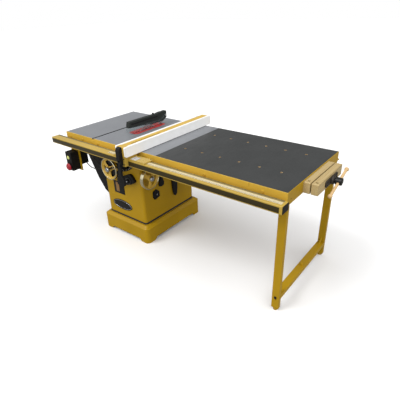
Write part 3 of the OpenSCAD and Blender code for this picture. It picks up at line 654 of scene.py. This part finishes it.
def front_plate(bm):
    """Plain plate with two ribs and four screws; it carries no writing."""
    add_box(bm, (443, 574), (cab_y0 - 2.2, cab_y0), (378, 492), 0.8)
    for x in ((447, 450), (567, 570)):
        add_box(bm, x, (cab_y0 - 3, cab_y0 - 1.6), (382, 488), 0.5)
    for x in (448.5, 568.5):
        for z in (383, 487):
            add_screw(bm, (x, cab_y0 - 2.8, z), (0, -1, 0), 2.4, 1.2)


piece("front_plate", "black", "frame", front_plate)
piece("front_plate_panel", "amber", "frame", lambda bm: add_box(
    bm, (470, 510), (cab_y0 - 2.8, cab_y0 - 2), (395, 480), 0.3))

latch_x, latch_z = 672, 548  # middle of the round knob


def latch_body(bm):
    add_prism(bm, [(560, 500), (575, 488), (621, 498), (685, 514), (734, 540), (742, 556), (711, 595), (689, 606),
                   (670, 602), (600, 570), (562, 548)], "y", cab_y0 - 26, cab_y0 + 0.5, 5.0, 3)
    add_lathe(bm, [(0, 33), (4, 33), (6, 31), (6, 24)], (latch_x, cab_y0 - 25, latch_z), (0, -1, 0), 48)


piece("front_latch", "plastic", "frame", latch_body)


def latch_knob(bm):
    add_lathe(bm, [(0, 18), (2, 19), (13, 18), (16, 15), (17, 9), (15.5, 7), (15.5, 0)],
              (latch_x, cab_y0 - 31, latch_z), (0, -1, 0), 60, 1.1, 15)


piece("front_latch_knob", "plastic", "frame", latch_knob)
piece("front_latch_stud", "chrome", "frame", lambda bm: add_lathe(
    bm, dome(3, 6), (latch_x, cab_y0 - 46.7, latch_z), (0, -1, 0), 24))
piece("front_latch_ring", "dark_steel", "frame", lambda bm: add_lathe(
    bm, [(0, 26), (0, 30.5), (2.2, 29.5), (2.2, 26)], (latch_x, cab_y0 - 31.2, latch_z), (0, -1, 0), 60))


lock_y, lock_z = 222, 394  # middle of the cylinder in the side latch


def side_latch(bm):
    add_prism(bm, [(184, 426), (219, 439), (256, 412), (257, 361), (196, 350), (180, 376)], "x",
              cab_x1 - 0.5, cab_x1 + 9, 3.0, 3)
    add_lathe(bm, [(0, 21), (4, 21), (6, 18), (6, 9)], (cab_x1 + 8, lock_y, lock_z), (1, 0, 0), 40)


piece("side_latch", "plastic", "frame", side_latch)
piece("side_latch_cylinder", "chrome", "frame", lambda bm: add_lathe(
    bm, [(0, 6.5), (2.4, 6.5), (3.2, 5.5), (2.2, 3.5), (2.2, 0)], (cab_x1 + 11.6, lock_y, lock_z), (1, 0, 0), 36))


def push_stick(bm):
    outline = [(430, 566), (462, 570), (480, 556), (484, 520), (480, 430), (474, 350), (466, 306),
               (448, 290), (430, 300), (420, 340), (412, 430), (410, 520), (416, 552)]
    add_prism(bm, outline, "x", cab_x1 + 1.5, cab_x1 + 17, 4.0, 3)
    add_box(bm, (cab_x1 - 0.3, cab_x1 + 3), (424, 470), (500, 548), 1.0)
    add_box(bm, (cab_x1 - 0.3, cab_x1 + 3), (430, 462), (330, 360), 1.0)


piece("push_stick", "plastic", "frame", push_stick)


def wrench(bm):
    jaw = [(262, 640), (262, 672), (272, 690), (280, 690), (280, 664), (297, 664), (297, 690), (305, 690),
           (315, 672), (315, 640), (300, 622), (298, 480), (292, 468), (284, 468), (278, 480), (276, 622)]
    add_prism(bm, jaw, "x", cab_x1 + 3, cab_x1 + 9, 1.0)


def wrench_pocket(bm):
    add_prism(bm, [(274, 531), (298, 531), (314, 481), (309, 452), (284, 444), (258, 452), (258, 476)], "x",
              cab_x1 - 0.3, cab_x1 + 16, 3.0, 3)


piece("arbor_wrench", "dark_steel", "frame", wrench)
piece("wrench_pocket", "plastic", "frame", wrench_pocket)


def side_vents(bm):
    for i in range(7):
        z = 560 + i * 22
        add_prism(bm, [(cab_x1 - 0.5, z), (cab_x1 + 4.2, z - 1.5), (cab_x1 + 4.2, z - 4), (cab_x1 - 0.5, z - 12)],
                  "y", 560, 664, 0.6, 1)


piece("side_vents", "gold", "frame", side_vents)


def neck_shade_ring(bm):
    """Dark band in the groove between cabinet and plinth, with a lip over the cabinet edge: painted shade of the
    groove.
    """
    low = span("plinth")[2][1] + 0.2
    radius, loops = 22, []  # the cabinet's corner radius
    for inset, rise in ((6.9, 0), (-1.2, 0), (-1.2, 16.5), (-0.1, 16.5), (-0.1, 13.6), (6.9, 13.6)):
        loop = []
        for quarter in range(4):
            cx = cab_x0 + radius if quarter in (1, 2) else cab_x1 - radius
            cy = cab_y0 + radius if quarter in (2, 3) else cab_y1 - radius
            for step in range(7):
                angle = math.radians(90 * quarter + 15 * step)
                loop.append(bm.verts.new(at(cx + (radius - inset) * math.cos(angle),
                                            cy + (radius - inset) * math.sin(angle), low + rise)))
        loops.append(loop)
    skin(bm, loops, True)


piece("neck_shade_ring", "rubber", "frame", neck_shade_ring)


# -------- switch and cable

(sw_x0, _), (sw_y0, _), _ = span("switch_box")
button_x, start_z, stop_z = 145, 692, 612

piece("start_ring", "green_button", "frame", lambda bm: add_lathe(
    bm, [(0, 12.6), (0, 17), (3, 17), (4.6, 15.6), (4.6, 12.6)], (button_x, sw_y0 + 0.5, start_z), (0, -1, 0), 48))


def switch_trim(bm):
    for z, r in ((start_z, 20.6), (stop_z, 21)):
        add_lathe(bm, [(0, r), (2.5, r), (4, r - 1.5), (4, r - 3.5)], (button_x, sw_y0 + 0.5, z), (0, -1, 0), 40)
    add_box(bm, (sw_x0 + 0.5, sw_x0 + 75), (sw_y0 + 22, sw_y0 + 24), (577.2, 738.8), 0.4)
    for x in (116, 174):
        for z in (588, 728):
            add_screw(bm, (x, sw_y0, z), (0, -1, 0), 3.4, 1.8)


piece("switch_trim", "plastic", "frame", switch_trim)


def plate_screws(bm):
    for x, z in ((100, 574), (198, 574), (100, 768), (198, 768)):
        add_screw(bm, (x, -46, z), (0, -1, 0), 4.5, 3)
    for x in (110, 188):
        add_screw(bm, (x, -24, 778), (0, 0, -1), 6, 4)


piece("switch_plate_screws", "steel", "frame", plate_screws)


def cables(bm):
    add_sweep(bm, [(186, 20, 700), (222, 34, 690), (252, 60, 640), (262, 84, 590), (286, 100, 566),
                   (316, 108, 575), (cab_x0 + 2, 110, 590)], 5.0)
    add_sweep(bm, [(170, 26, 614), (176, 30, 592), (206, 44, 560), (246, 72, 545), (290, 94, 558),
                   (318, 100, 572), (cab_x0 + 2, 98, 578)], 4.2)
    add_lathe(bm, [(-1, 13), (6, 13), (7, 11), (14, 9), (16, 7)], (cab_x0 + 0.5, 106, 584), (-1, 0, 0), 28)
    add_lathe(bm, [(-1, 9), (8, 9), (10, 7)], (170, 26, 612.5), (0, 0, -1), 24)
    add_lathe(bm, [(-1, 9), (6, 9), (8, 7)], (191.5, 22, 700), (1, 0, 0), 24)


piece("power_cable", "rubber", "frame", cables)


# -------- legs and bench

(leg_x0, leg_x1), _, _ = span("legs")
foot_x, foot_ys = 2058, (4, 749)


def leg_bolts(bm):
    for y, way in ((-10, -1), (763, 1)):
        add_lathe(bm, [(0, 9), (1.6, 9), (1.6, 7.6), (6, 7.6), (7, 6), (7, 0)], (foot_x, y, 105), (0, way, 0), 24)
    for y in foot_ys:
        for z in (740, 762):
            add_lathe(bm, [(0, 8), (1.2, 8), (1.2, 6.4), (5, 6.4), (6, 5), (6, 0)], (leg_x0, y, z), (-1, 0, 0), 24)


piece("leg_bolts", "black", "frame", leg_bolts)


def foot_nuts(bm):
    for y in foot_ys:
        add_lathe(bm, [(10.2, 5.2), (10.2, 12), (15, 12), (15.8, 11), (15.8, 5.2)], (foot_x, y, 0), (0, 0, 1), 24)


piece("foot_nuts", "steel", "frame", foot_nuts)
piece("crossbar_knob", "gold", "frame", lambda bm: add_lathe(
    bm, [(0, 8), (5, 9.5), (9, 9.5), (11, 7.5), (12, 0)], (foot_x, 380, 129), (0, 0, 1), 36, 0.9, 9))


def gussets(bm):
    for outer, inner in ((18, 60), (735, 693)):
        add_prism(bm, [(outer, 122), (inner, 122), (outer, 164)], "x", leg_x0 + 20, leg_x1 - 20, 0.8)


piece("leg_gussets", "gold", "frame", gussets)


# -------- handwheels

CRANK_ANGLE = math.radians(25)
CRANK_RADIUS = 80


def wheel_frame(front):
    """Origin and three directions of a handwheel: across, up, and out towards the user."""
    if front:
        (x0, x1), (y0, y1), (z0, z1) = span("handwheel_raise")
        return ((x0 + x1) / 2, y1 - 14, (z0 + z1) / 2), Vector((1, 0, 0)), Vector((0, 0, 1)), Vector((0, -1, 0))
    (x0, x1), (y0, y1), (z0, z1) = span("handwheel_tilt")
    return (x0 + 14, (y0 + y1) / 2, (z0 + z1) / 2), Vector((0, 1, 0)), Vector((0, 0, 1)), Vector((1, 0, 0))


def crank_foot(front):
    """Where the crank grip stands on its wheel."""
    centre, across, up, _ = wheel_frame(front)
    return Vector(centre) + (across * math.cos(CRANK_ANGLE) + up * math.sin(CRANK_ANGLE)) * CRANK_RADIUS


def add_hoop(bm, front, section, around=96):
    """Closed section of (height, radius) in millimetres, carried round a wheel."""
    centre, across, up, out = wheel_frame(front)
    base, rows = at(*centre), []
    for i in range(around):
        t = math.tau * i / around
        ray = across * math.cos(t) + up * math.sin(t)
        rows.append([bm.verts.new(base + ray * r / 1000 + out * h / 1000) for h, r in section])
    skin(bm, rows, True)


def rim_mesh(bm, front):
    """Plated band round the outside of the wheel."""
    add_hoop(bm, front, [(-12, 85), (-12, 91.5), (-10, 93.6), (-4, 94), (9, 94), (14, 92.8), (16, 90), (16, 86.5),
                         (14.4, 84.6), (13, 88), (-9, 88)])


def wheel_mesh(bm, front):
    """Rim, hub, three waisted spokes and the boss of the crank grip."""
    centre, across, up, out = wheel_frame(front)
    base = at(*centre)
    add_hoop(bm, front, [(-11, 84.5), (-9, 90), (12, 90), (14.5, 86), (13, 82.6), (6, 79), (2, 72), (-1, 71),
                         (-4, 78), (-8, 82.4)])
    add_lathe(bm, [(-14, 8.2), (-14, 16), (-12, 17), (0, 18), (3, 24), (15, 24), (17.6, 22), (17.6, 8.2)],
              centre, out, 48)
    for angle in (25, 145, 265):
        t = math.radians(angle)
        ray = across * math.cos(t) + up * math.sin(t)
        tan = out.cross(ray)
        sections = []
        for k in range(9):
            f = k / 8
            r = 20 + f * 56
            half = 20.0 - 5.0 * math.sin(math.pi * f) + 9.0 * f ** 3
            mid = 9.0 - 3.6 * math.sin(math.pi * f) - 6.0 * f ** 2
            sections.append([bm.verts.new(base + (ray * r + tan * (half * s) + out * (mid + 4.0 * h)) / 1000)
                             for s, h in ((-1, 0), (-0.7, 0.8), (0, 1), (0.7, 0.8), (1, 0), (0.7, -0.8), (0, -1),
                                          (-0.7, -0.8))])
        skin(bm, sections, False)
        bm.faces.new(sections[0])
        bm.faces.new(sections[-1])
    add_lathe(bm, [(1, 5.2), (1, 10), (2.5, 11), (15, 11), (17, 9.5), (17, 5.2)], crank_foot(front), out, 36)


def wheel_shade_disc(bm):
    """Black dished disc behind the openings of the front wheel: painted shade, standing in for the shadow between
    wheel and cabinet.
    """
    centre, _, _, out = wheel_frame(True)
    add_lathe(bm, [(-3.4, 18.4), (-3.4, 30), (-7.6, 60), (-7.6, 70.6), (-9.4, 70.6), (-9.4, 59), (-5.4, 29),
                   (-5.4, 18.4)], centre, out, 72)


piece("wheel_back_raise", "black", "raise_wheel", wheel_shade_disc)

WHEELS = (("raise", True), ("tilt", False))
for key, front in WHEELS:
    wheel = piece(f"wheel_{key}", "wheel_gold", f"{key}_wheel", lambda bm: wheel_mesh(bm, front))
    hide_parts(f"handwheel_{key}")
    piece(f"wheel_rim_{key}", "rim_chrome", f"{key}_wheel", lambda bm: rim_mesh(bm, front))


def knob_grip(bm, front):
    """Toothed band round the lock knob."""
    centre, _, _, out = wheel_frame(front)
    add_lathe(bm, [(20, 19.2), (21.5, 20.2), (31, 20.2), (32.5, 19.2)], centre, out, 72, 0.9, 18)


def crank_ring(bm, front):
    out = wheel_frame(front)[3]
    for h in (30.5, 73):
        add_lathe(bm, [(h, 9.6), (h + 0.6, 11.8), (h + 2, 11.8), (h + 2.6, 9.6)], crank_foot(front), out, 36)


for key, front in WHEELS:
    piece(f"knob_grip_{key}", "chrome", f"{key}_lock", lambda bm: knob_grip(bm, front))
    piece(f"crank_rings_{key}", "chrome", f"{key}_crank", lambda bm: crank_ring(bm, front))

piece("tilt_bearing", "steel", "frame", lambda bm: add_lathe(
    bm, [(0, 9), (0, 20), (3, 20), (4.2, 18.5), (4.2, 9)], (cab_x1 + 5.8, 112, 597), (1, 0, 0), 40))

(blade_x0, blade_x1), _, _ = span("blade")
blade_x = (blade_x0 + blade_x1) / 2


def scale_ticks(bm):
    """Raised degree marks on the arc plate, a longer one every 15 degrees."""
    for degree in range(0, 46, 5):
        a = math.radians(degree - 2)
        r0, r1 = 250, 258 if degree % 15 else 263  # below the tilt axis in the table top
        turn = Vector((math.cos(a), math.sin(a)))
        down = Vector((math.sin(a), -math.cos(a)))
        quad = []
        for r, w in ((r0, -0.8), (r1, -0.8), (r1, 0.8), (r0, 0.8)):
            p = down * r + turn * w
            quad.append((blade_x + p.x, table_z + p.y))
        add_prism(bm, quad, "y", cab_y0 - 2.5, cab_y0 - 1.9, 0)


piece("tilt_marks", "white", "frame", scale_ticks)


# -------- motor side

def cover_latch(bm):
    add_box(bm, (286, 322), (126.6, 130.5), (462, 500), 1.2)
    add_prism(bm, [(292, 468), (316, 468), (320, 486), (304, 496), (290, 486)], "y", 119, 127.4, 2.0)


piece("cover_latch", "chrome", "cover", cover_latch)


def cover_ribs(bm):
    for i in range(6):
        z = 662 + i * 15
        add_box(bm, (50.2, 52.6), (206, 414), (z, z + 5), 1.1)
    for y in (150, 470):
        add_box(bm, (50.6, 52.6), (y - 3, y + 3), (652, 760), 1.0)


piece("cover_ribs", "plastic", "cover", cover_ribs)


def cover_hinges(bm):
    for z in (330, 530, 730):
        add_lathe(bm, [(0, 7.2), (1.5, 8), (24, 8), (25.5, 7.2)], (328, 494, z - 12), (0, 0, 1), 28)
        add_box(bm, (300, 328), (489.5, 492), (z - 10, z + 10), 0.6)


piece("cover_hinges", "black", "cover", cover_hinges)


def motor_fins(bm):
    """Cooling fins, end cap and the ring of end screws, all about the motor's axis."""
    (x0, _), _, _ = span("motor")
    y, z, along = 300, 629, (1, 0, 0)
    for i in range(12):
        add_lathe(bm, [(0, 81.5), (0, 86.5), (2.6, 86.5), (2.6, 81.5)], (172 + i * 12.5, y, z), along, 56)
    add_lathe(bm, [(0, 60), (-5, 58), (-7, 50), (-7, 0)], (x0 + 0.4, y, z), along, 56)
    for k in range(8):
        a = math.tau * k / 8
        add_lathe(bm, [(0, 5), (-4, 5), (-5, 4), (-5, 0)], (160, y + 79 * math.cos(a), z + 79 * math.sin(a)),
                  along, 18)


piece("motor_fins", "black", "arbor_unit", motor_fins)


# -------- guard

(arm_x0, arm_x1), _, _ = span("guard_arm")


def guard_trim(bm):
    for x in ((arm_x0 - 1.2, arm_x0 + 0.2), (arm_x1 - 0.2, arm_x1 + 1.2)):
        add_prism(bm, [(250, 942), (250, 952), (560, 950), (560, 938)], "x", *x, 0.5)
    for y in (300, 430, 560):
        for x, way in ((arm_x0, -1), (arm_x1, 1)):
            add_screw(bm, (x, y, 928), (way, 0, 0), 4, 1.4)


piece("guard_trim", "plastic", "tilt_unit", guard_trim)


def pawls(bm):
    for x in ((blade_x - 6.5, blade_x - 3.5), (blade_x + 3.5, blade_x + 6.5)):
        add_prism(bm, [(598, 888), (612, 890), (626, 882), (612, 874), (604, 877), (600, 872), (594, 876),
                       (590, 871), (584, 877), (588, 884)], "x", *x, 0.4)
    add_lathe(bm, [(-9, 3), (-9, 5), (-7.5, 5), (-7.5, 3), (7.5, 3), (7.5, 5), (9, 5), (9, 3)],
              (blade_x, 606, 883), (1, 0, 0), 20)


piece("kickback_pawls", "steel", "tilt_unit", pawls)


# -------- fence

(tube_x0, tube_x1), (tube_y0, tube_y1), (tube_z0, tube_z1) = span("fence_tube")
(head_x0, head_x1), (head_y0, head_y1), _ = span("fence_head")
face_top = span("fence_faces")[2][1]
tube_x = (tube_x0 + tube_x1) / 2

piece("fence_end_plug", "plug", "rip_fence", lambda bm: add_box(
    bm, (tube_x0 + 4, tube_x1 - 4), (tube_y1 - 6, tube_y1 + 2.5), (tube_z0 + 4, tube_z1 - 4), 2.0, 3))
piece("fence_slot_liner", "plug", "rip_fence", lambda bm: add_box(
    bm, (tube_x + 6.1, tube_x + 15.9), (-56.8, 245.8), (tube_z1 - 6, tube_z1 - 3.6), 0.3))


def top_screws(bm):
    for y in (-60, 90, 240, 390, 540, 690):
        add_lathe(bm, [(-2, 4), (0.5, 4), (1.2, 3), (1.2, 1.6), (0.4, 1.2), (0.4, 0)],
                  (tube_x0 + 17, y, tube_z1), (0, 0, 1), 24)


def fence_edging(bm):
    """White edge strips beside the face boards, filling the step down to the tube."""
    for x in ((tube_x0 + 0.2, tube_x0 + 8), (tube_x1 - 8, tube_x1 - 0.2)):
        add_box(bm, x, (tube_y0 + 42, tube_y1), (tube_z1 + 0.1, face_top - 0.2), 0.6)


piece("fence_top_screws", "tube_gold", "rip_fence", top_screws)
piece("fence_edging", "white", "rip_fence", fence_edging)

(lens_x0, lens_x1), (lens_y0, lens_y1), (_, lens_z) = span("fence_cursor")


def cursor_screws(bm):
    for x in (lens_x0 + 5, lens_x1 - 5):
        add_screw(bm, (x, lens_y1 - 7, lens_z), (0, 0, 1), 4, 2.2)


def hairline(bm):
    x = (lens_x0 + lens_x1) / 2
    add_box(bm, (x - 0.5, x + 0.5), (lens_y0 + 2, lens_y1 - 3), (lens_z - 0.05, lens_z + 0.15), 0)


piece("cursor_screws", "steel", "rip_fence", cursor_screws)
piece("cursor_hairline", "red", "rip_fence", hairline, smooth=0)


def head_fittings(bm):
    for x in (head_x0 + 16, head_x1 - 16):
        add_screw(bm, (x, head_y1 - 3.2, rail_z1 + 8.5), (0, 0, 1), 3.2, 2.2)
    for z in (812, 852):
        add_screw(bm, (tube_x + 28, head_y0, z), (0, -1, 0), 4.5, 3)


piece("head_screws", "black", "rip_fence", head_fittings)


def lever_grip(bm):
    (x0, x1), (y0, _), _ = span("fence_lever")
    for z in range(664, 700, 9):
        add_box(bm, (x0 + 6, x1 - 6), (y0 - 0.9, y0 + 1), (z, z + 4), 0.9)


piece("lever_grip_ribs", "plastic", "fence_handle", lever_grip)


# -------- vise

(_, jaw_x1), _, _ = span("vise_outer_jaw")
(_, hub_x1), _, _ = span("vise_screw")
vise_y, vise_z = 395, 820  # axis of the screw


def flange_screws(bm):
    for y in (vise_y - 78, vise_y + 78):
        for z in (vise_z - 10, vise_z + 10):
            add_screw(bm, (jaw_x1 + 8, y, z), (1, 0, 0), 5, 3)


piece("vise_flange_screws", "black", "vise_jaw", flange_screws)
piece("vise_collar", "bracket", "vise_jaw", lambda bm: add_lathe(
    bm, [(0, 13.5), (0, 26), (3, 28), (9, 28), (12, 26), (12, 13.5)], (jaw_x1 + 8.2, vise_y, vise_z), (1, 0, 0), 48))
piece("vise_hub_cap", "black", "vise_spindle", lambda bm: add_lathe(
    bm, [(-0.4, 21), (1.5, 20), (3, 15), (3.2, 0)], (hub_x1, vise_y, vise_z), (1, 0, 0), 40))


# -------- stage, light, camera

def floor_material():
    """Pale matt floor; it bounces less light on the saw than it shows to the camera."""
    s = Surface("pale_floor")
    shown = s.add("LightPath").outputs["Is Camera Ray"]
    cloud = s.fit(s.noise(0.8, 3), 0.3, 0.7)
    tone = s.mix(shown, (0.3, 0.29, 0.27), s.mix(cloud, (0.93, 0.93, 0.93), (0.95, 0.95, 0.95)))
    return s.finish({"Base Color": tone, "Roughness": 0.95, "Specular IOR Level": 0.0})


floor_bm = bmesh.new()
bmesh.ops.create_grid(floor_bm, x_segments=4, y_segments=4, size=40)
for v in floor_bm.verts:
    v.co.z = -0.0005
floor_mesh = bpy.data.meshes.new("floor")
floor_bm.to_mesh(floor_mesh)
floor_bm.free()
floor_mesh.materials.append(floor_material())
floor = bpy.data.objects.new("floor", floor_mesh)
bpy.context.scene.collection.objects.link(floor)

scene = bpy.context.scene
scene.view_settings.view_transform = "Standard"
scene.view_settings.look = "None"
world = bpy.data.worlds.new("studio")
scene.world = world
world.use_nodes = True
world.node_tree.nodes.clear()
KEY = Vector((-0.36, -0.52, 0.8)).normalized()
FILL = Vector((0.9, -0.25, 0.4)).normalized()


def studio_light():
    """White to the camera; for everything else a soft dome with a key lobe and a fill lobe."""
    tree = world.node_tree

    def add(kind, **props):
        node = tree.nodes.new("ShaderNode" + kind)
        for key, value in props.items():
            setattr(node, key, value)
        return node

    def lobe(direction, low, floor_level, top_level):
        facing = add("VectorMath", operation="DOT_PRODUCT")
        tree.links.new(add("TexCoord").outputs["Generated"], facing.inputs[0])
        facing.inputs[1].default_value = direction
        level = add("MapRange", interpolation_type="SMOOTHSTEP")
        tree.links.new(facing.outputs["Value"], level.inputs["Value"])
        level.inputs["From Min"].default_value = low
        level.inputs["To Min"].default_value = floor_level
        level.inputs["To Max"].default_value = top_level
        return level.outputs[0]

    total = add("Math", operation="ADD")
    tree.links.new(lobe(KEY, -0.45, 0.06, 0.95), total.inputs[0])
    tree.links.new(lobe(FILL, 0.0, 0.0, 1.15), total.inputs[1])
    dome, white, blend = add("Background"), add("Background"), add("MixShader")
    dome.inputs[0].default_value = (1, 1, 1, 1)
    white.inputs[0].default_value = (1, 1, 1, 1)
    tree.links.new(total.outputs[0], dome.inputs[1])
    tree.links.new(add("LightPath").outputs["Is Camera Ray"], blend.inputs[0])
    tree.links.new(dome.outputs[0], blend.inputs[1])
    tree.links.new(white.outputs[0], blend.inputs[2])
    tree.links.new(blend.outputs[0], add("OutputWorld").inputs["Surface"])


studio_light()

sun_data = bpy.data.lights.new("key", "SUN")
sun_data.energy = 1.1
sun_data.angle = math.radians(24)
sun = bpy.data.objects.new("key", sun_data)
sun.rotation_euler = KEY.to_track_quat("Z", "Y").to_euler()
scene.collection.objects.link(sun)

camera_data = bpy.data.cameras.new("camera")
camera_data.sensor_width = 36.0
camera_data.lens = 32.94
camera_data.clip_start, camera_data.clip_end = 0.05, 60
camera = bpy.data.objects.new("camera", camera_data)
scene.collection.objects.link(camera)
azimuth, elevation, roll = (math.radians(v) for v in (39.02, 28.02, -2.02))  # the photo's view
right = Vector((math.cos(azimuth), math.sin(azimuth), 0))
back = Vector((math.sin(azimuth) * math.cos(elevation), -math.cos(azimuth) * math.cos(elevation),
               math.sin(elevation)))
up = back.cross(right)
cam_x = right * math.cos(roll) + up * math.sin(roll)
cam_y = up * math.cos(roll) - right * math.sin(roll)
turn = Matrix((cam_x, cam_y, back)).transposed().to_4x4()
camera.matrix_world = Matrix.Translation(at(2820.88, -1689.07, 1788.39)) @ turn
scene.camera = camera
